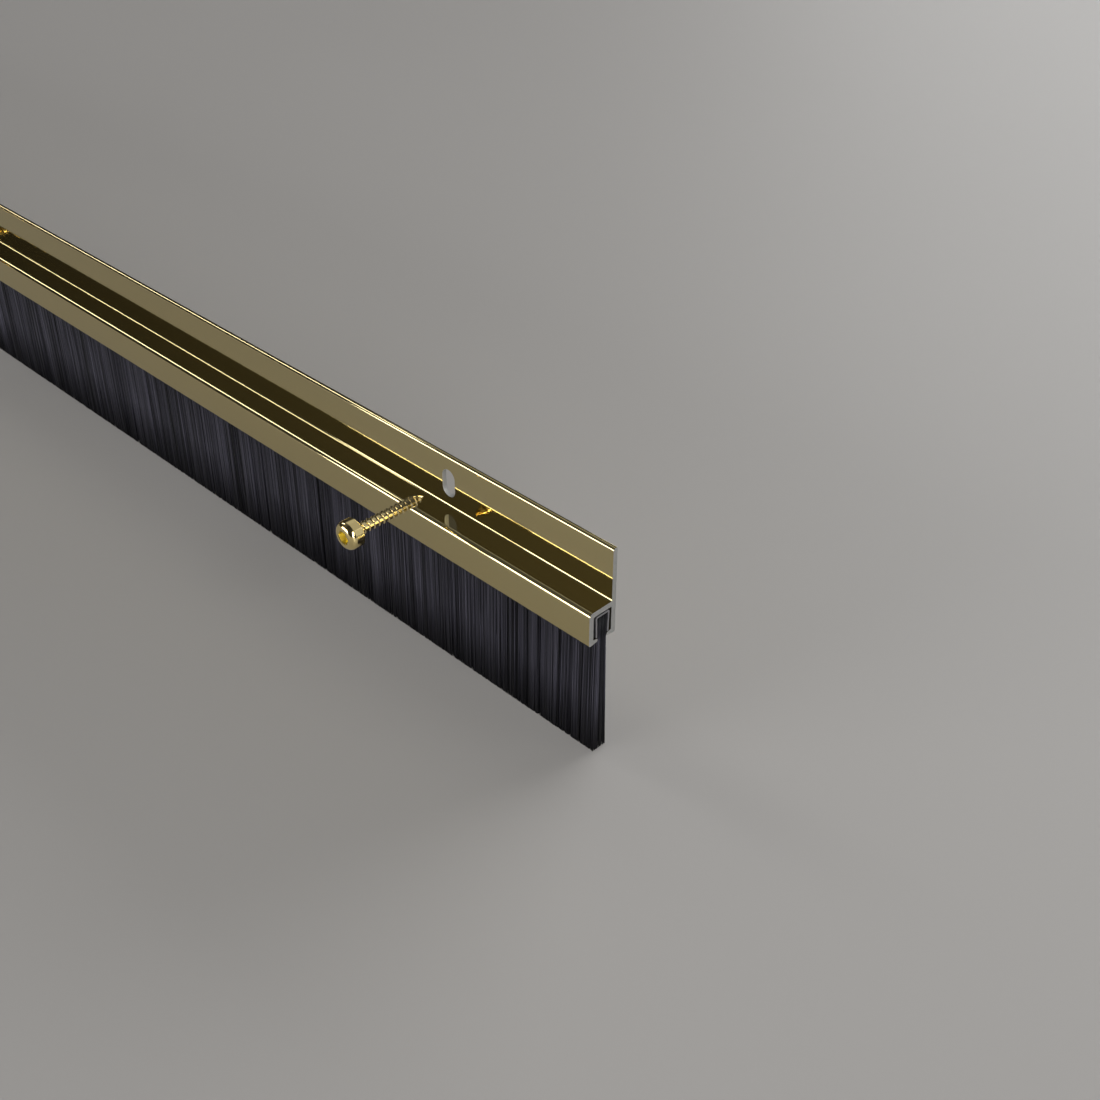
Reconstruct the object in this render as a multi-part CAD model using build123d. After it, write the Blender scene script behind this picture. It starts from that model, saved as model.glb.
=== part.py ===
from build123d import *
import os

# Brush door sweep: an aluminium carrier with a row of screw slots, and a strip brush slid into
# the channel along its lower edge. X runs along the strip, +Y points out of the carrier's flat
# back and +Z is up. The origin is on the back face, at mid-length, level with the screw slots.
# All sizes are in millimetres.

# Carrier: an extruded flange over a channel that opens downwards between two lips
strip_length = 914.0
flange_thickness = 1.35
front_wall = 1.45
back_wall = 1.45
web_thickness = 1.5
lip_reach = 1.45
lip_root_thickness = 1.55
lip_tip_thickness = 0.8
lip_top_fall = 0.3
front_edge_radius = 1.25
foot_radius = 0.55
flange_edge_radius = 0.8
flange_back_radius = 0.2
web_corner_radius = 0.5
lip_tip_radius = 0.25
inside_radius = 0.25

# Screw slots, upright in the flange
slot_count = 4
slot_clearance = 1.4
slot_adjustment = 3.4
slot_end_distance = 57.2
flange_below_slots = 3.0
flange_above_slots = 4.1

# Brush backing: a strip of steel folded to a U and crimped over the filaments
backing_width = 4.8
backing_height = 6.3
backing_sheet = 0.5
backing_fold_radius = 0.6
backing_crimp = 0.2
backing_side_gap = 0.65
backing_top_gap = 0.4
backing_foot_gap = 0.1

# Filaments, folded round a core wire
core_wire_diameter = 1.4
core_wire_cover = 0.9
core_wire_setback = 1.5
filament_gap = 0.05
filament_fold_radius = 1.1
mouth_gap = 0.2
bristle_drop = 35.2
bristle_tip_width = 4.6
tuft_pitch = 6.0
tuft_depth = 0.35

# Fixing screws, each held in front of its slot
screw_length = 25.6
thread_diameter = 3.2
screw_point_length = 3.2
head_diameter = 7.6
head_height = 3.95
head_edge_radius = 1.65
socket_across_flats = 3.3
socket_depth = 2.2
screw_standoff = 8.7

# Most of a wall or edge that one of its rounded corners may take up
corner_share = 0.45

# Slots are sized for the screws, and the channel for the brush backing
slot_width = thread_diameter + slot_clearance
slot_height = slot_width + slot_adjustment
channel_width = backing_width + 2 * backing_side_gap
mouth_width = channel_width - 2 * lip_reach

# Heights, from the slots' centre line
slot_centre_z = 0.0
flange_top_z = slot_centre_z + slot_height / 2 + flange_above_slots
web_top_z = slot_centre_z - slot_height / 2 - flange_below_slots
web_under_z = web_top_z - web_thickness
backing_top_z = web_under_z - backing_top_gap
backing_foot_z = backing_top_z - backing_height
lip_root_z = backing_foot_z - backing_foot_gap
lip_tip_top_z = lip_root_z - lip_top_fall
lip_tip_under_z = lip_tip_top_z - lip_tip_thickness
foot_z = lip_root_z - lip_root_thickness
bristle_tip_z = foot_z - bristle_drop
fold_top_z = backing_top_z - backing_sheet - filament_gap
core_wire_z = fold_top_z - core_wire_cover - core_wire_diameter / 2

# Depths, from the carrier's back face
back_y = 0.0
flange_front_y = back_y - flange_thickness
channel_back_y = back_y - back_wall
channel_front_y = channel_back_y - channel_width
front_y = channel_front_y - front_wall
brush_y = (channel_front_y + channel_back_y) / 2

# Places along the strip
near_end_x = strip_length / 2
slot_pitch = (strip_length - 2 * slot_end_distance) / (slot_count - 1)
slot_xs = [near_end_x - slot_end_distance - i * slot_pitch for i in range(slot_count)]


def section(corners):
    """A closed face across the strip from its (y, z, corner radius) corners."""
    outline = FilletPolyline(
        [(y, z) for y, z, _ in corners],
        radius=[radius for _, _, radius in corners],
        close=True,
    )
    return Plane.YZ * make_face(outline)


def along_strip(face, setback=0.0):
    """Extrudes a section from one end of the strip to the other, less a setback at each end."""
    return extrude(face, amount=near_end_x - setback, both=True)


def brush_side(side, half_width, z, radius=0.0):
    """A corner of a section that is symmetrical about the brush's middle plane."""
    return (brush_y + side * half_width, z, radius)


def carrier():
    """The extrusion, with its row of slots cut through the flange."""
    flange_back = min(flange_back_radius, corner_share * flange_thickness)
    flange_edge = min(flange_edge_radius, 2 * corner_share * flange_thickness - flange_back)
    lip_tip = min(lip_tip_radius, corner_share * lip_tip_thickness)
    front_edge = min(front_edge_radius, 2 * corner_share * min(front_wall, web_thickness))
    half_mouth = mouth_width / 2
    profile = section([
        (back_y, flange_top_z, flange_back),
        (back_y, foot_z, foot_radius),
        brush_side(1, half_mouth, lip_tip_under_z, lip_tip),
        brush_side(1, half_mouth, lip_tip_top_z, lip_tip),
        (channel_back_y, lip_root_z, 0),
        (channel_back_y, web_under_z, inside_radius),
        (channel_front_y, web_under_z, inside_radius),
        (channel_front_y, lip_root_z, 0),
        brush_side(-1, half_mouth, lip_tip_top_z, lip_tip),
        brush_side(-1, half_mouth, lip_tip_under_z, lip_tip),
        (front_y, foot_z, foot_radius),
        (front_y, web_top_z, front_edge),
        (flange_front_y, web_top_z, web_corner_radius),
        (flange_front_y, flange_top_z, flange_edge),
    ])
    slot = SlotOverall(slot_height, slot_width, rotation=90)
    slot_cut = extrude(Plane.XZ * slot, amount=2 * flange_thickness, both=True)
    slots = [Pos(x, back_y, slot_centre_z) * slot_cut for x in slot_xs]
    return along_strip(profile) - slots


def brush_backing_channel():
    """The folded U, its legs crimped in towards their open edges."""
    outer = backing_width / 2
    inner = outer - backing_sheet
    bend_inside = max(backing_fold_radius - backing_sheet, 0)
    sheet = section([
        brush_side(-1, outer, backing_top_z, backing_fold_radius),
        brush_side(1, outer, backing_top_z, backing_fold_radius),
        brush_side(1, outer - backing_crimp, backing_foot_z),
        brush_side(1, inner - backing_crimp, backing_foot_z),
        brush_side(1, inner, backing_top_z - backing_sheet, bend_inside),
        brush_side(-1, inner, backing_top_z - backing_sheet, bend_inside),
        brush_side(-1, inner - backing_crimp, backing_foot_z),
        brush_side(-1, outer - backing_crimp, backing_foot_z),
    ])
    return along_strip(sheet)


def wire_section(radius):
    """A round section about the core wire's centre line."""
    return Plane.YZ * Pos(brush_y, core_wire_z) * Circle(radius)


def core_wire():
    """The straight wire that the filaments are folded round."""
    return along_strip(wire_section(core_wire_diameter / 2), core_wire_setback)


def tuft_outline(crest, valley, z):
    """The pack's outline at one height, a zigzag of tufts along both faces."""
    half_steps = 2 * max(1, round(strip_length / tuft_pitch))
    step = strip_length / half_steps
    points = []
    for side in (1, -1):
        for i in range(half_steps + 1):
            reach = crest if i % 2 else valley
            points.append((side * (i * step - near_end_x), brush_y + side * reach, z))
    return make_face(Polyline(points, close=True))


def bristles():
    """The filament pack: folded in the backing, narrow at the mouth, in tufts at its tips."""
    top_half = backing_width / 2 - backing_sheet - filament_gap
    crimped_half = top_half - backing_crimp
    neck_half = mouth_width / 2 - mouth_gap
    tip_half = bristle_tip_width / 2
    fold_radius = min(filament_fold_radius, 2 * corner_share * top_half)
    held = section([
        brush_side(-1, top_half, fold_top_z, fold_radius),
        brush_side(1, top_half, fold_top_z, fold_radius),
        brush_side(1, crimped_half, backing_foot_z),
        brush_side(1, neck_half, lip_tip_top_z),
        brush_side(1, neck_half, foot_z),
        brush_side(-1, neck_half, foot_z),
        brush_side(-1, neck_half, lip_tip_top_z),
        brush_side(-1, crimped_half, backing_foot_z),
    ])
    wire_way = along_strip(wire_section(core_wire_diameter / 2 + filament_gap))
    free = loft(
        [
            tuft_outline(tip_half, tip_half - tuft_depth, bristle_tip_z),
            tuft_outline(neck_half, neck_half, foot_z),
        ],
        ruled=True,
    )
    return along_strip(held) - wire_way + free


def fixing_screw(x):
    """A pan-head wood screw, its axis along +Y and its point short of the flange."""
    head_radius = head_diameter / 2
    shank_radius = thread_diameter / 2
    edge_radius = min(head_edge_radius, 2 * corner_share * head_height, corner_share * head_diameter)
    half_outline = FilletPolyline(
        [
            (0, 0),
            (head_radius, 0),
            (head_radius, head_height),
            (shank_radius, head_height),
            (shank_radius, screw_length - screw_point_length),
            (0, screw_length),
        ],
        radius=[0, edge_radius, 0, 0, 0, 0],
        close=True,
    )
    body = revolve(make_face(half_outline), Axis.Y)
    socket = RegularPolygon(socket_across_flats / 2, 6, major_radius=False)
    socket_cut = extrude(Plane.XZ * socket, amount=-socket_depth)
    head_y = flange_front_y - screw_standoff - screw_length
    return Pos(x, head_y, slot_centre_z) * (body - socket_cut)


nodes = {
    "carrier": carrier(),
    "brush_backing_channel": brush_backing_channel(),
    "core_wire": core_wire(),
    "bristles": bristles(),
}
for number, slot_x in enumerate(slot_xs, start=1):
    nodes[f"fixing_screw_{number}"] = fixing_screw(slot_x)

os.makedirs("parts", exist_ok=True)
for name, solid in nodes.items():
    export_step(solid, f"parts/{name}.step")
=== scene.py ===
import math

import bpy
import numpy as np
from mathutils import Matrix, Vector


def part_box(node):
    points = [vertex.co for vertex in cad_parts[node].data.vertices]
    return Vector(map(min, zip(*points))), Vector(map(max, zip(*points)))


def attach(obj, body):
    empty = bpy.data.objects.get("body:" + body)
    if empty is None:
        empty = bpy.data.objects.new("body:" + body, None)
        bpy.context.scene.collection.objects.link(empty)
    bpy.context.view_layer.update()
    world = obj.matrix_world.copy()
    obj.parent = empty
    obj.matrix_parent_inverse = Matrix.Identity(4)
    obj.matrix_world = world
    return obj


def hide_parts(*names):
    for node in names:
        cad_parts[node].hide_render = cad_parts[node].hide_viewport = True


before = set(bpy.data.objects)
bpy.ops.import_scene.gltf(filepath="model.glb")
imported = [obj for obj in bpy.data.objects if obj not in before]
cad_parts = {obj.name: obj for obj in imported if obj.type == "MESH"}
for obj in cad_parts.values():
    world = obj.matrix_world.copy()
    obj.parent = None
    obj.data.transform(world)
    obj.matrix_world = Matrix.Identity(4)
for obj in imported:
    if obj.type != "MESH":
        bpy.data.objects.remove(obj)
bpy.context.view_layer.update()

# A brush door sweep: a polished gold carrier, a strip brush in its channel and four wood screws.
# X runs along the strip, +Y points out of the carrier's flat back and +Z is up, in metres.
MM = 0.001
TURN = 2 * math.pi

# Carrier section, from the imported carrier's box
carrier_low, carrier_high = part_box("carrier")
back_y = carrier_high.y
front_y = carrier_low.y
flange_top_z = carrier_high.z
far_end_x = carrier_low.x
near_end_x = carrier_high.x
flange_thickness = 1.35 * MM
front_wall = 1.45 * MM
back_wall = 1.45 * MM
web_thickness = 1.5 * MM
lip_reach = 1.45 * MM
lip_root_thickness = 1.55 * MM
lip_tip_thickness = 0.8 * MM
lip_top_fall = 0.3 * MM
front_edge_radius = 1.25 * MM
foot_radius = 0.55 * MM
flange_edge_radius = 0.8 * MM
flange_back_radius = 0.2 * MM
web_corner_radius = 0.5 * MM
lip_tip_radius = 0.25 * MM
inside_radius = 0.25 * MM
lip_root_radius = 0.1 * MM
arc_steps = 10
arc_support = 0.02 * MM
carrier_sharp_angle = math.radians(35)
flange_front_y = back_y - flange_thickness
channel_back_y = back_y - back_wall
channel_front_y = front_y + front_wall
brush_y = (channel_front_y + channel_back_y) / 2
mouth_half = (channel_back_y - channel_front_y) / 2 - lip_reach
backing_low, backing_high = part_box("brush_backing_channel")
backing_top_gap = 0.4 * MM
backing_foot_gap = 0.1 * MM
web_under_z = backing_high.z + backing_top_gap
web_top_z = web_under_z + web_thickness
lip_root_z = backing_low.z - backing_foot_gap
lip_tip_top_z = lip_root_z - lip_top_fall
lip_tip_under_z = lip_tip_top_z - lip_tip_thickness
foot_z = lip_root_z - lip_root_thickness

# Screw slots, upright and centred on the screws
screw_names = [name for name in sorted(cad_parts) if name.startswith("fixing_screw")]
slot_width = 4.6 * MM
slot_height = 8.0 * MM
slot_edge = 0.06 * MM
slot_zone_half = 5.5 * MM
slot_quarter_points = 12

# Filaments
bristle_low, bristle_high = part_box("bristles")
filament_seed = 20261127
filament_radius = 0.15 * MM
filament_tip_radius = 0.12 * MM
filament_sides = 3
filaments_per_mm = 40
filament_pieces = 5
filament_end_inset = 0.16 * MM
filament_overrun = 0.35 * MM
filament_top_gap = 0.25 * MM
filament_mouth_gap = 0.22 * MM
backing_inside_half = 1.55 * MM
neck_half = mouth_half - filament_mouth_gap
tip_half = 2.12 * MM
tip_z = bristle_low.z
edge_crowding = 1.25
edge_power = 0.8

# Filament rows: under the backing's top, in the mouth, at the carrier's foot, half way and at the tip
row_z = (bristle_high.z - filament_top_gap, lip_tip_top_z, foot_z, (foot_z + tip_z) / 2, tip_z)
row_half = np.array([backing_inside_half, neck_half, neck_half, (neck_half + tip_half) / 2, tip_half])
row_radius = np.array([1, 1, 1, 1, filament_tip_radius / filament_radius]) * filament_radius
row_lean = np.array([0, 0, 0, 0.42, 1.0])
row_bow = np.array([0, 0, 0, 1.0, 0])
# Painted shade along each filament: near black inside the backing and in the mouth, where shade
# falls, a little lower at the carrier's foot, and dark at the tips near the floor
row_painted_shade = np.array([0, 0.2, 0.85, 0.9, 0.1])

# How filaments differ from each other, by chance and in tufts and clumps along the strip
coarse_tuft = {"length": 2.9 * MM, "wander": 2.3, "wander_length": 17 * MM}
fine_tuft = {"length": 1.27 * MM, "wander": 1.7, "wander_length": 23 * MM}
fine_tuft_height = 0.7
fine_tuft_slant = 2
tuft_lean = 0.10 * MM
lean_spread = 0.16 * MM
lean_across_spread = 0.03 * MM
bow_spread = 0.06 * MM
trim_unevenness = 0.03 * MM
trim_spread = trim_unevenness / 3
tone_clump = {"length": 3.7 * MM, "wander": 3, "wander_length": 29 * MM}
tone_draw = (0.7, 1.7)
own_tone = 0.80
clump_tone = 0.30

# Screws
head_height = 3.95 * MM
head_edge_radius = 1.65 * MM
head_back_edge = 0.15 * MM
head_edge_steps = 12
thread_radius = 1.6 * MM
thread_root_radius = 1.34 * MM
thread_base_share = 0.9
thread_pitch = 1.5 * MM
thread_ridge_half = 0.42 * MM
thread_start_gap = 0.1 * MM
thread_end_gap = 0.5 * MM
thread_run_in_turns = 0.6
thread_least_rise = 0.02
thread_least_width = 0.2
thread_point_rise = 2.5
thread_turn_steps = 36
screw_point_length = 3.2 * MM
screw_point_power = 0.7
screw_point_steps = 6
screw_tip_radius = 0.12 * MM
socket_half_flats = 1.65 * MM
socket_depth = 2.2 * MM
socket_edge = 0.1 * MM
screw_sides = 60
screw_angles = np.arange(screw_sides) / screw_sides * TURN
screw_sharp_angle = math.radians(28)


# Meshes
def mesh_piece(name, points, face_sets, finishes, finish_numbers=None, sharp_angle=None):
    """A smooth-shaded mesh from points and sets of faces, each set an array with one face a row."""
    corners = np.concatenate([faces.ravel() for faces in face_sets])
    totals = np.concatenate([np.full(len(faces), faces.shape[1]) for faces in face_sets])
    starts = np.cumsum(totals) - totals
    numbers = finish_numbers or [0] * len(face_sets)
    slots = np.concatenate([np.full(len(faces), n) for faces, n in zip(face_sets, numbers)])
    mesh = bpy.data.meshes.new(name)
    mesh.vertices.add(len(points))
    mesh.vertices.foreach_set("co", np.asarray(points, np.float32).ravel())
    mesh.loops.add(len(corners))
    mesh.loops.foreach_set("vertex_index", corners.astype(np.int32))
    mesh.polygons.add(len(totals))
    mesh.polygons.foreach_set("loop_start", starts.astype(np.int32))
    mesh.polygons.foreach_set("material_index", slots.astype(np.int32))
    mesh.update(calc_edges=True)
    mesh.shade_smooth()
    if sharp_angle is not None:
        mesh.set_sharp_from_angle(angle=sharp_angle)
    for finish in finishes:
        mesh.materials.append(finish)
    piece = bpy.data.objects.new(name, mesh)
    bpy.context.scene.collection.objects.link(piece)
    return piece


def tube_numbers(count, rows, sides, first=0):
    """Vertex numbers of tubes stored one after another, as an array of tube, row and side."""
    return first + np.arange(count * rows * sides).reshape(count, rows, sides)


def tube_quads(numbers):
    """Quads between neighbouring rows. They face outwards where the sides turn right-handed
    about the way that the rows run."""
    beside = np.roll(numbers, -1, axis=2)
    quads = [numbers[:, :-1], beside[:, :-1], beside[:, 1:], numbers[:, 1:]]
    return np.stack(quads, axis=-1)


def tube_faces(numbers):
    """A closed tube: its quads, and one face over each end."""
    return [tube_quads(numbers).reshape(-1, 4), numbers[:, 0, ::-1], numbers[:, -1]]


def unit(vectors):
    """Each vector divided by its length."""
    return vectors / np.linalg.norm(vectors, axis=-1, keepdims=True)


def rounded_outline(corners):
    """A closed outline whose corners are arcs. An arc's centre is on the corner's bisector, at
    radius / sin(half angle), and its points turn evenly from one edge's foot to the other's.
    A support point just outside each end of the arc keeps the flats flat when shaded smooth."""
    corners = np.array(corners)
    at = corners[:, None, :2]
    radius = corners[:, None, 2:]
    back = unit(np.roll(at, 1, axis=0) - at)
    on = unit(np.roll(at, -1, axis=0) - at)
    half_angle = np.arccos(np.clip((back * on).sum(-1, keepdims=True), -1, 1)) / 2
    foot = radius / np.tan(half_angle)
    centre = at + unit(back + on) * radius / np.sin(half_angle)
    sweep = math.pi - 2 * half_angle
    share = np.linspace(0, 1, arc_steps + 1)[None, :, None]
    start = unit(at + back * foot - centre)
    end = unit(at + on * foot - centre)
    turned = (start * np.sin((1 - share) * sweep) + end * np.sin(share * sweep)) / np.sin(sweep)
    arc = centre + radius * turned
    before = at + back * (foot + arc_support)
    after = at + on * (foot + arc_support)
    return np.concatenate([before, arc, after], axis=1).reshape(-1, 2)


# Carrier
def carrier_outline():
    """The extrusion's section as (y, z) points, right-handed about +X."""
    front_lip_y = brush_y - mouth_half
    back_lip_y = brush_y + mouth_half
    return rounded_outline([
        (flange_front_y, flange_top_z, flange_edge_radius),
        (flange_front_y, web_top_z, web_corner_radius),
        (front_y, web_top_z, front_edge_radius),
        (front_y, foot_z, foot_radius),
        (front_lip_y, lip_tip_under_z, lip_tip_radius),
        (front_lip_y, lip_tip_top_z, lip_tip_radius),
        (channel_front_y, lip_root_z, lip_root_radius),
        (channel_front_y, web_under_z, inside_radius),
        (channel_back_y, web_under_z, inside_radius),
        (channel_back_y, lip_root_z, lip_root_radius),
        (back_lip_y, lip_tip_top_z, lip_tip_radius),
        (back_lip_y, lip_tip_under_z, lip_tip_radius),
        (back_y, foot_z, foot_radius),
        (back_y, flange_top_z, flange_back_radius),
    ])


def slot_rows(centre):
    """A slot as a tube along +Y: a half circle at each end of an upright straight, with its two
    rims opened out by the edge's width. The points turn from +X to +Z, so it faces its own axis."""
    count = 4 * slot_quarter_points
    angle = (np.arange(count) + 0.5) / count * TURN
    straight = (slot_height - slot_width) / 2 * np.sign(np.sin(angle))
    rims = [
        (flange_front_y, slot_edge),
        (flange_front_y + slot_edge, 0),
        (back_y - slot_edge, 0),
        (back_y, slot_edge),
    ]
    radius = slot_width / 2 + np.array([opening for _, opening in rims])[:, None]
    x = centre[0] + radius * np.cos(angle)
    z = centre[1] + radius * np.sin(angle) + straight
    y = np.broadcast_to(np.array([depth for depth, _ in rims])[:, None], x.shape)
    return np.stack([x, y, z], axis=-1)


def slot_surround(rim, zone):
    """Faces from a slot's rim to the four corners of the flat around it. Both turn from +X to +Z,
    a quarter of the rim to each corner, and the faces look towards -Y."""
    quarters = rim.reshape(4, -1)
    corner = np.array(zone)
    fan_corners = np.broadcast_arrays(quarters[:, :-1], corner[:, None], quarters[:, 1:])
    fans = np.stack(fan_corners, axis=-1)
    next_first = np.roll(quarters[:, 0], -1)
    bridges = np.stack([quarters[:, -1], corner, np.roll(corner, -1), next_first], axis=-1)
    return fans.reshape(-1, 3), bridges


def flat_side(outline, y):
    """The side of the outline that runs along its longest flat at this y."""
    ahead = np.roll(outline, -1, axis=0)
    on_flat = np.isclose(outline[:, 0], y) & np.isclose(ahead[:, 0], y)
    return int(np.argmax(np.where(on_flat, np.abs(ahead[:, 1] - outline[:, 1]), 0)))


def channel_sides(outline):
    """Which sides of the outline have their middle inside the channel or on its walls."""
    middle = (outline + np.roll(outline, -1, axis=0)) / 2
    channel_half = (channel_back_y - channel_front_y) / 2
    across = np.abs(middle[:, 0] - brush_y) < channel_half + arc_support
    upright = (middle[:, 1] > lip_tip_top_z) & (middle[:, 1] < web_under_z + arc_support)
    return across & upright


def make_carrier(gold, sawn, inside):
    """The section carried along X, with the flange's two flats opened around every slot. Finish
    numbers are 0 for gold, 1 for the sawn ends and slot walls, and 2 for the channel's inside,
    which is dull gold painted dark as shade."""
    outline = carrier_outline()
    sides = len(outline)
    centres = sorted(screw_place(name)[:2] for name in screw_names)
    stations = [far_end_x]
    for x, _ in centres:
        stations += [x - slot_zone_half, x + slot_zone_half]
    stations.append(near_end_x)
    rows = len(stations)
    x = np.broadcast_to(np.array(stations)[:, None, None], (rows, sides, 1))
    body = np.concatenate([x, np.broadcast_to(outline, (rows, sides, 2))], axis=-1)
    numbers = tube_numbers(1, rows, sides)
    quads = tube_quads(numbers)[0]
    front_high = flat_side(outline, flange_front_y)
    front_low = front_high + 1
    back_low = flat_side(outline, back_y)
    back_high = back_low + 1
    keep = np.ones((rows - 1, sides), bool)
    keep[1:-1:2, [front_high, back_low]] = False
    in_channel = np.broadcast_to(channel_sides(outline), keep.shape)
    points = [body.reshape(-1, 3)]
    face_sets = [quads[keep & ~in_channel], quads[in_channel], numbers[:, 0, ::-1], numbers[:, -1]]
    finish_numbers = [0, 2, 1, 1]
    used = rows * sides
    for place, centre in enumerate(centres):
        wall = slot_rows(centre)
        wall_numbers = tube_numbers(1, *wall.shape[:2], first=used)
        used += wall_numbers.size
        points.append(wall.reshape(-1, 3))
        left, right = numbers[0, 2 * place + 1], numbers[0, 2 * place + 2]
        front_zone = [right[front_high], left[front_high], left[front_low], right[front_low]]
        back_zone = [right[back_high], left[back_high], left[back_low], right[back_low]]
        front_faces = slot_surround(wall_numbers[0, 0], front_zone)
        back_faces = slot_surround(wall_numbers[0, -1], back_zone)
        face_sets += [tube_quads(wall_numbers).reshape(-1, 4), *front_faces]
        face_sets += [faces[:, ::-1] for faces in back_faces]
        finish_numbers += [1, 0, 0, 0, 0]
    piece = mesh_piece(
        "carrier_extrusion",
        np.concatenate(points),
        face_sets,
        [gold, sawn, inside],
        finish_numbers,
        carrier_sharp_angle,
    )
    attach(piece, "carrier")
    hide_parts("carrier")


# Filaments
def wandering_wave(x, length, wander, wander_length, offset=0.0):
    """A sine along x whose phase is moved by wander times a slower sine, and by an offset."""
    return np.sin(x / length + wander * np.sin(x / wander_length) + offset)


def filament_points(draw, root_x):
    """Points of filaments rooted at these places, as an array of filament, row, side and axis.
    Across the strip a filament keeps its share of the pack's half width at each row, and the
    outer fifth of them lie on the two faces. Along the strip it leans by its own amount and by
    its tuft's, and those that overrun an end stand in its plane."""
    count = len(root_x)
    share = draw.uniform(-1, 1, count)
    edge_share = np.sign(share) * np.clip(edge_crowding * np.abs(share), 0, 1) ** edge_power
    tuft = wandering_wave(root_x, **coarse_tuft)
    tuft += fine_tuft_height * wandering_wave(root_x, **fine_tuft, offset=fine_tuft_slant * share)
    lean_x = tuft_lean * tuft + draw.normal(0, lean_spread, count)
    lean_y = draw.normal(0, lean_across_spread, count)
    bow = draw.normal(0, bow_spread, count)
    x = root_x[:, None] + lean_x[:, None] * row_lean + bow[:, None] * row_bow
    x = np.clip(x, far_end_x + filament_end_inset, near_end_x - filament_end_inset)
    y = brush_y + edge_share[:, None] * row_half + lean_y[:, None] * row_lean
    z = np.tile(row_z, (count, 1))
    z[:, -1] += np.abs(draw.normal(0, trim_spread, count)).clip(0, trim_unevenness)
    side_angle = np.arange(filament_sides) / filament_sides * TURN
    turned = side_angle + draw.uniform(0, TURN, count)[:, None]
    ring_x = x[:, :, None] + row_radius[:, None] * np.cos(turned)[:, None, :]
    ring_y = y[:, :, None] - row_radius[:, None] * np.sin(turned)[:, None, :]
    ring_z = np.broadcast_to(z[:, :, None], ring_x.shape)
    return np.stack([ring_x, ring_y, ring_z], axis=-1)


def filament_tones(draw, root_x):
    """A tone from 0 to 1 for each filament: a draw of its own, and one that its clump scales."""
    count = len(root_x)
    clump = 0.5 + 0.5 * wandering_wave(root_x, **tone_clump)
    own = own_tone * draw.beta(*tone_draw, count)
    return np.clip(own + clump_tone * clump * draw.random(count), 0, 1)


def make_filaments(finish):
    """Straight-trimmed filaments in equal pieces along the strip. Each is a thin closed tube
    through the filament rows, with its tone times its row's painted shade stored at every point."""
    draw = np.random.default_rng(filament_seed)
    length = near_end_x - far_end_x + 2 * filament_overrun
    count = int(length / MM * filaments_per_mm / filament_pieces)
    for part in range(filament_pieces):
        start = far_end_x - filament_overrun + length * part / filament_pieces
        even = (np.arange(count) + draw.random(count)) / count
        root_x = start + even * length / filament_pieces
        points = filament_points(draw, root_x)
        faces = tube_faces(tube_numbers(*points.shape[:3]))
        piece = mesh_piece(f"filaments_{part + 1}", points.reshape(-1, 3), faces, [finish])
        # Each filament's own tone times its row's painted shade
        tones_and_painted_shade = filament_tones(draw, root_x)[:, None] * row_painted_shade
        point_tones_and_shade = np.broadcast_to(tones_and_painted_shade[:, :, None], points.shape[:3])
        tone_and_shade_layer = piece.data.attributes.new("tone", "FLOAT", "POINT")
        tone_and_shade_layer.data.foreach_set("value", point_tones_and_shade.astype(np.float32).ravel())
        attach(piece, "brush_strip")
        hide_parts("bristles")


# Screws
def screw_place(name):
    """(x, z, head radius, head front y, tip y) of a packed screw."""
    low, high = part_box(name)
    return (low.x + high.x) / 2, (low.z + high.z) / 2, (high.x - low.x) / 2, low.y, high.y


def screw_ring(depth, radius):
    """One row of a screw: radius may be a number or a value for each side."""
    x = radius * np.sin(screw_angles)
    z = radius * np.cos(screw_angles)
    return np.stack([x, np.full(screw_sides, depth), z], axis=-1)


def hexagon(half_flats):
    """A hexagon as radii: half its flats / cos(angle from the middle of the nearest flat)."""
    from_flat = (screw_angles + TURN / 12) % (TURN / 6) - TURN / 12
    return half_flats / np.cos(from_flat)


def point_radius(left):
    """The core's radius with this share of the point left: full at 1, and the tip's at 0, by a
    power under 1, so the point is rounded."""
    return screw_tip_radius + (thread_root_radius - screw_tip_radius) * left ** screw_point_power


def screw_body(radius, length):
    """Rows from the socket's floor out over the rounded head, in under it and along the root to
    the tip. The head's front edge is a quarter circle."""
    rows = [
        screw_ring(socket_depth, hexagon(socket_half_flats)),
        screw_ring(socket_edge, hexagon(socket_half_flats)),
        screw_ring(0, hexagon(socket_half_flats + socket_edge)),
    ]
    for tilt in np.linspace(0, math.pi / 2, head_edge_steps + 1):
        depth = head_edge_radius * (1 - math.cos(tilt))
        rows.append(screw_ring(depth, radius - head_edge_radius * (1 - math.sin(tilt))))
    rows += [
        screw_ring(head_height - head_back_edge, radius),
        screw_ring(head_height, radius - head_back_edge),
        screw_ring(head_height, thread_root_radius),
    ]
    for left in np.linspace(1, 0, screw_point_steps + 1):
        rows.append(screw_ring(length - left * screw_point_length, point_radius(left)))
    return np.stack(rows)


def thread_ridge(length):
    """A triangular ridge carried along a helix. Its root follows the core, and its height grows
    from almost nothing over the run-in and shrinks with the point at the other end."""
    start = head_height + thread_start_gap
    end = length - thread_end_gap
    turns = (end - start) / thread_pitch
    share = np.linspace(0, 1, int(turns * thread_turn_steps))
    angle = share * turns * TURN
    depth = start + share * (end - start)
    left = np.minimum((length - depth) / screw_point_length, 1)
    core = point_radius(left)
    run_in = np.clip(share * turns / thread_run_in_turns, thread_least_rise, 1)
    rise = run_in * np.minimum(left * thread_point_rise, 1)
    crest = core + (thread_radius - thread_root_radius) * rise
    base = core * thread_base_share
    half = thread_ridge_half * np.clip(rise, thread_least_width, 1)
    radii = np.stack([base, base, crest], axis=1)
    depths = np.stack([depth - half, depth + half, depth], axis=1)
    x = radii * np.sin(angle)[:, None]
    z = radii * np.cos(angle)[:, None]
    return np.stack([x, depths, z], axis=-1)


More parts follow.
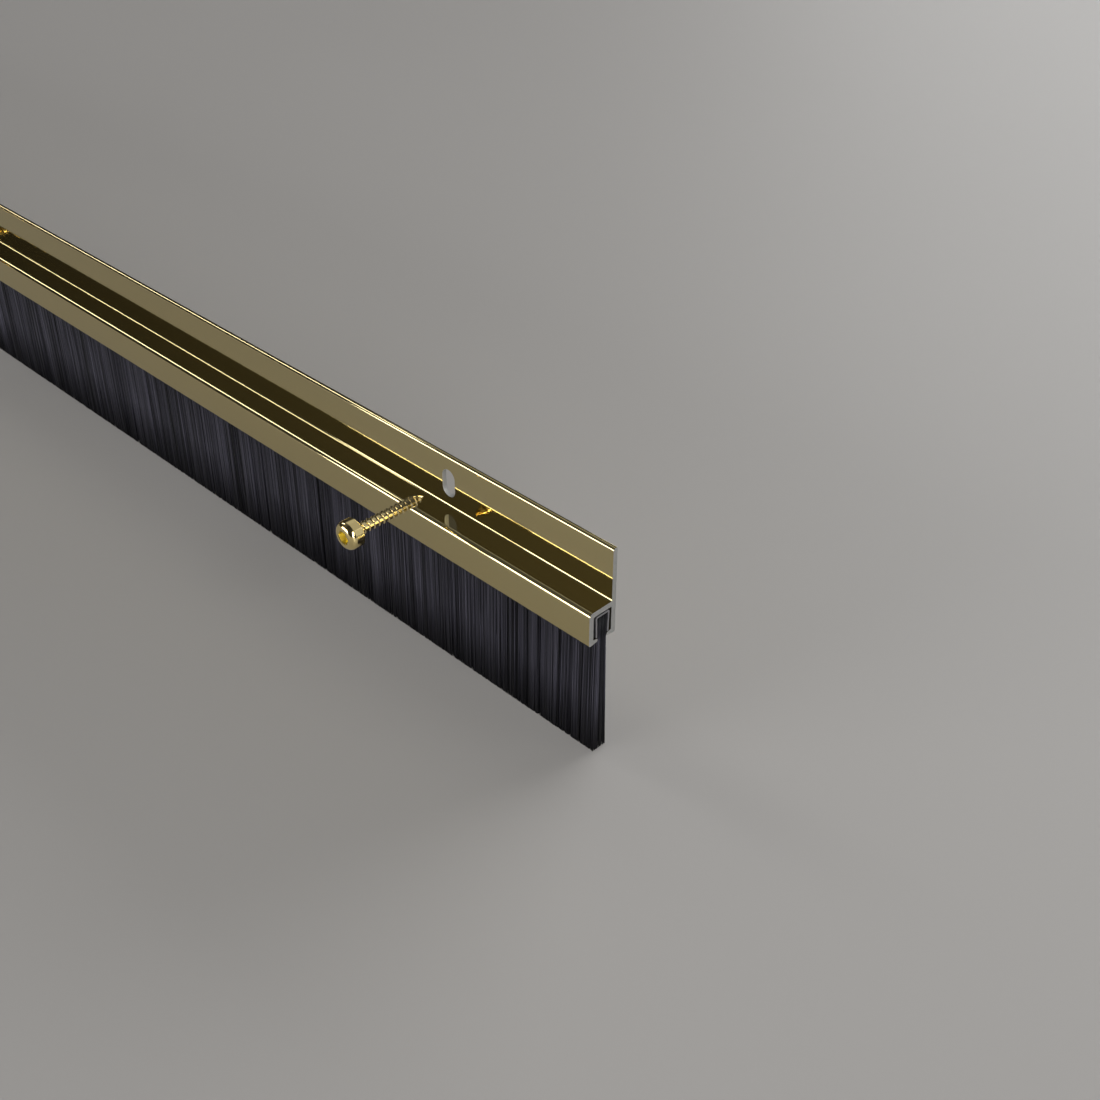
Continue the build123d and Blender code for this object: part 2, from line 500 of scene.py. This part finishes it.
def make_screws(bright, struck, rolled):
    """Each packed screw as a turned body with a struck hexagon socket and a rolled thread, which
    is a helical ridge on the core. The core and point are the body's last rows."""
    core_rows = screw_point_steps + 1
    for place, name in enumerate(screw_names, start=1):
        x, z, radius, front, tip = screw_place(name)
        length = tip - front
        body = screw_body(radius, length)
        ridge = thread_ridge(length)
        body_numbers = tube_numbers(1, *body.shape[:2])
        ridge_numbers = tube_numbers(1, *ridge.shape[:2], first=body_numbers.size)
        points = np.concatenate([body.reshape(-1, 3), ridge.reshape(-1, 3)])
        body_quads = tube_quads(body_numbers)[0]
        head_faces = [body_quads[1:-core_rows].reshape(-1, 4)]
        socket_faces = [body_quads[0], body_numbers[:, 0, ::-1]]
        core_faces = [body_quads[-core_rows:].reshape(-1, 4), body_numbers[:, -1]]
        thread_faces = core_faces + tube_faces(ridge_numbers)
        piece = mesh_piece(
            f"wood_screw_{place}",
            points + np.array([x, front, z]),
            head_faces + socket_faces + thread_faces,
            [bright, struck, rolled],
            [0] * len(head_faces) + [1] * len(socket_faces) + [2] * len(thread_faces),
            screw_sharp_angle,
        )
        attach(piece, f"screw_{place}")
        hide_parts(name)


# Shader nodes
class Value:
    """A shader socket. Arithmetic on it adds Math nodes."""

    def __init__(self, nodes, socket):
        self.nodes = nodes
        self.socket = socket

    def math(self, operation, first, second):
        return self.nodes.node("ShaderNodeMath", {"operation": operation}, {0: first, 1: second})

    def __add__(self, other):
        return self.math("ADD", self, other)

    def __radd__(self, other):
        return self.math("ADD", other, self)

    def __sub__(self, other):
        return self.math("SUBTRACT", self, other)

    def __rsub__(self, other):
        return self.math("SUBTRACT", other, self)

    def __mul__(self, other):
        return self.math("MULTIPLY", self, other)

    def __rmul__(self, other):
        return self.math("MULTIPLY", other, self)


class Nodes:
    """A node tree, with one method that adds any node and one that sets or links a socket."""

    def __init__(self, tree):
        self.tree = tree

    def put(self, socket, value):
        if isinstance(value, Value):
            self.tree.links.new(value.socket, socket)
        else:
            socket.default_value = value

    def node(self, kind, settings=None, sockets=None, output=0):
        made = self.tree.nodes.new(kind)
        for name, value in (settings or {}).items():
            setattr(made, name, value)
        for name, value in (sockets or {}).items():
            self.put(made.inputs[name], value)
        return Value(self, made.outputs[output])


class Finish(Nodes):
    """A material with its Principled shader, some of whose sockets get constants."""

    def __init__(self, name, constants):
        self.material = bpy.data.materials.new(name)
        self.material.use_nodes = True
        super().__init__(self.material.node_tree)
        self.inputs = self.tree.nodes["Principled BSDF"].inputs
        for socket, value in constants.items():
            self.put(self.inputs[socket], value)

    def noise(self, scale, detail=2.0):
        """Noise on Object coordinates, with cells of 1 / scale metres along X, Y and Z."""
        place = self.node("ShaderNodeTexCoord", output="Object")
        stretched = self.node("ShaderNodeMapping", None, {"Vector": place, "Scale": scale})
        sockets = {"Vector": stretched, "Scale": 1.0, "Detail": detail}
        return self.node("ShaderNodeTexNoise", None, sockets)

    def colour(self, share, first, second):
        """Base Color, from first to second as share goes from 0 to 1."""
        sockets = {0: share, 6: (*first, 1), 7: (*second, 1)}
        blend = self.node("ShaderNodeMix", {"data_type": "RGBA"}, sockets, output=2)
        self.put(self.inputs["Base Color"], blend)

    def roughness(self, share, first, second):
        """Roughness, from first to second as share goes from 0 to 1."""
        self.put(self.inputs["Roughness"], first + (second - first) * share)

    def bump(self, height, strength, distance):
        """Bump that raises the surface by distance where height is 1."""
        sockets = {"Height": height, "Strength": strength, "Distance": distance}
        self.put(self.inputs["Normal"], self.node("ShaderNodeBump", None, sockets))


# Finishes
def marked_metal(name, scale, colours, roughness, strength, distance, detail=2.0):
    """A metal with marks from one noise, which takes its colour and roughness from the first of
    each to the second and is its bump as well."""
    metal = Finish(name, {"Metallic": 1.0})
    marks = metal.noise(scale, detail)
    metal.colour(marks, *colours)
    metal.roughness(marks, *roughness)
    metal.bump(marks, strength, distance)
    return metal.material


def polished_gold():
    """Bright gold with faint die lines along the extrusion and a slow change of tint."""
    gold = Finish("polished_gold_aluminium", {"Metallic": 1.0})
    die_lines = gold.noise((5, 5200, 5200), detail=3.0)
    tint = gold.noise((9, 60, 60))
    gold.colour(tint, (0.69, 0.575, 0.285), (0.67, 0.575, 0.31))
    gold.roughness(die_lines, 0.03, 0.07)
    gold.bump(die_lines, strength=0.02, distance=0.01 * MM)
    return gold.material


def dull_gold_painted_shade():
    """The channel's inside, dull as the die leaves it, with lines along the extrusion, and painted
    near black as the shade in the narrow gap around the backing.
    """
    return marked_metal(
        "dull_gold_aluminium_painted_shade",
        scale=(5, 5200, 5200),
        # Near black colours: painted shade in the gap between the channel and the backing
        colours=[(0.07, 0.06, 0.04), (0.13, 0.11, 0.07)],
        roughness=(0.45, 0.65),
        strength=0.1,
        distance=0.02 * MM,
        detail=3.0,
    )


def sawn_aluminium():
    """Bare grey metal with the saw's marks across it."""
    sawn = Finish("sawn_aluminium", {"Metallic": 1.0})
    marks = sawn.noise((400, 900, 7000), detail=3.0)
    grain = sawn.noise((9000, 9000, 9000))
    sawn.colour(marks, (0.34, 0.34, 0.33), (0.56, 0.56, 0.54))
    sawn.roughness(grain, 0.5, 0.7)
    sawn.bump(marks, strength=0.25, distance=0.04 * MM)
    return sawn.material


def backing_steel():
    """Galvanised sheet with a soft spangle."""
    return marked_metal(
        "backing_steel",
        scale=(700, 1400, 1400),
        colours=[(0.32, 0.32, 0.34), (0.48, 0.48, 0.50)],
        roughness=(0.3, 0.5),
        strength=0.1,
        distance=0.02 * MM,
    )


def charcoal_filament():
    """Satin nylon: each filament has its own tone, streaked along its length. The tone it reads
    also holds painted shade: dark inside the backing, in the mouth and at the tips.
    """
    nylon = Finish("charcoal_filament", {"Specular IOR Level": 0.2})
    tone = nylon.node("ShaderNodeAttribute", {"attribute_name": "tone"}, output="Fac")
    streak = nylon.noise((900, 900, 60))
    nylon.colour(tone * (0.5 + 0.9 * streak), (0.003, 0.003, 0.004), (0.101, 0.097, 0.128))
    nylon.roughness(streak, 0.4, 0.6)
    return nylon.material


def bright_brass():
    """Bright plated brass with faint turning marks."""
    return marked_metal(
        "bright_brass",
        scale=(1800, 5000, 1800),
        colours=[(0.88, 0.70, 0.30), (0.92, 0.76, 0.38)],
        roughness=(0.07, 0.15),
        strength=0.06,
        distance=0.01 * MM,
    )


def struck_brass():
    """The socket's duller brass, as the punch leaves it."""
    return marked_metal(
        "struck_brass",
        scale=(6000, 1500, 6000),
        colours=[(0.92, 0.79, 0.26), (0.95, 0.85, 0.33)],
        roughness=(0.26, 0.38),
        strength=0.1,
        distance=0.02 * MM,
    )


def rolled_brass():
    """The thread's softer brass, as the rolling dies leave it."""
    return marked_metal(
        "rolled_brass",
        scale=(4000, 4000, 4000),
        colours=[(0.90, 0.73, 0.36), (0.95, 0.80, 0.44)],
        roughness=(0.13, 0.21),
        strength=0.08,
        distance=0.01 * MM,
    )


def dress_node(name, finish):
    """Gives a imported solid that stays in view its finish."""
    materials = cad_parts[name].data.materials
    materials.clear()
    materials.append(finish)


# Studio
floor_half = 6.0
surround_level = 0.03
surround_glow = 0.07
glow_x = -0.5
glow_reach = 0.36


def make_floor():
    """One large flat square under the filament tips."""
    corners = floor_half * np.array([[-1, -1], [1, -1], [1, 1], [-1, 1]])
    points = np.column_stack([corners, np.full(4, bristle_low.z)])
    grey = Finish("pale_floor", {"Roughness": 0.6})
    cloud = grey.noise((3, 3, 3))
    grey.colour(cloud, (0.354, 0.341, 0.327), (0.374, 0.361, 0.347))
    floor = mesh_piece("pale_floor", points, [np.arange(4)[None, :]], [grey.material])


def make_lamp(name, place, towards, across, size, radiance, spread=180):
    """A flat soft lamp about a place. It shines towards a direction, and its first side runs
    across that. Its power is pi times its area times its radiance, times the share that its grid
    lets through, which is 1 - half / tan(half) for half its spread."""
    lamp = bpy.data.objects.new(name, bpy.data.lights.new(name, "AREA"))
    half_spread = math.radians(spread / 2)
    let_through = 1 - half_spread / math.tan(half_spread)
    lamp.data.shape = "RECTANGLE"
    lamp.data.size, lamp.data.size_y = size
    lamp.data.spread = 2 * half_spread
    lamp.data.energy = math.pi * size[0] * size[1] * radiance * let_through
    shine = unit(np.array(towards, float))
    side = unit(np.array(across, float))
    turned = Matrix(np.column_stack([side, np.cross(side, shine), -shine]))
    lamp.rotation_euler = turned.to_euler()
    lamp.location = place
    bpy.context.scene.collection.objects.link(lamp)


def make_surround():
    """A dim surround. Its level rises towards a direction at one side, by 1 - distance / reach of
    the direction's x from it, and is even elsewhere."""
    world = bpy.data.worlds.new("studio")
    world.use_nodes = True
    sky = Nodes(world.node_tree)
    direction = sky.node("ShaderNodeTexCoord", output="Generated")
    x = sky.node("ShaderNodeSeparateXYZ", None, {0: direction}, output="X")
    distance = sky.node("ShaderNodeMath", {"operation": "ABSOLUTE"}, {0: x - glow_x})
    slope = 1 - distance * (1 / glow_reach)
    rise = sky.node("ShaderNodeMath", {"operation": "MAXIMUM"}, {0: slope, 1: 0.0})
    background = world.node_tree.nodes["Background"]
    sky.put(background.inputs["Color"], (1, 1, 1, 1))
    sky.put(background.inputs["Strength"], surround_level + surround_glow * rise)
    bpy.context.scene.world = world


def make_studio():
    """A long soft key lamp with a panel below it at the camera's right, two lamps that are
    reflected as lines along the carrier's edges, and panels over the back, at the side and at
    the rear. Grids narrow the spread of the brightest."""
    make_lamp(
        "key_lamp",
        place=(1.85, -0.50, 0.85),
        towards=(-0.84, 0.24, -0.46),
        across=(-0.1, 0.8, 0.6),
        size=(1.2, 0.45),
        radiance=16.5,
        spread=100,
    )
    make_lamp(
        "low_edge_lamp",
        place=(-0.45, -1.50, 0.30),
        towards=(0, 1, 0),
        across=(1, 0, 0),
        size=(1.36, 0.60),
        radiance=6.5,
    )
    make_lamp(
        "high_edge_lamp",
        place=(-1.50, -0.25, 1.20),
        towards=(0, 0, -1),
        across=(1, 0, 0),
        size=(1.60, 0.26),
        radiance=5.5,
    )
    make_lamp(
        "front_panel",
        place=(1.93, -0.88, 0.36),
        towards=(-0.85, 0.47, -0.2),
        across=(0.47, 0.85, 0),
        size=(0.6, 0.7),
        radiance=6.0,
        spread=80,
    )
    make_lamp(
        "back_panel",
        place=(0.30, 0.72, 1.50),
        towards=(0, -0.6, -0.8),
        across=(1, 0, 0),
        size=(3.0, 0.70),
        radiance=0.38,
    )
    make_lamp(
        "side_panel",
        place=(2.00, 0.86, 0.75),
        towards=(-0.88, -0.44, -0.2),
        across=(-0.44, 0.88, 0),
        size=(0.9, 1.5),
        radiance=0.5,
    )
    make_lamp(
        "rear_panel",
        place=(0.10, 1.90, 0.65),
        towards=(0, -1, -0.3),
        across=(1, 0, 0),
        size=(2.0, 0.8),
        radiance=8.5,
        spread=90,
    )
    make_surround()
    bpy.context.scene.view_settings.view_transform = "Standard"


# Camera
camera_place = (0.62878, -0.1950, 0.19367)
camera_azimuth = math.radians(44.81)
camera_elevation = math.radians(35.71)
camera_lens = 45.41
camera_sensor = 36.0
camera_clip_start = 0.01


def make_camera():
    """Level camera, looking down on the strip's near end from its front."""
    camera = bpy.data.objects.new("camera", bpy.data.cameras.new("camera"))
    camera.data.sensor_width = camera_sensor
    camera.data.lens = camera_lens
    camera.data.clip_start = camera_clip_start
    camera.location = camera_place
    camera.rotation_euler = (math.pi / 2 - camera_elevation, 0, camera_azimuth)
    bpy.context.scene.collection.objects.link(camera)
    bpy.context.scene.camera = camera


make_carrier(polished_gold(), sawn_aluminium(), dull_gold_painted_shade())
make_filaments(charcoal_filament())
make_screws(bright_brass(), struck_brass(), rolled_brass())
steel = backing_steel()
dress_node("brush_backing_channel", steel)
dress_node("core_wire", steel)
make_floor()
make_studio()
make_camera()
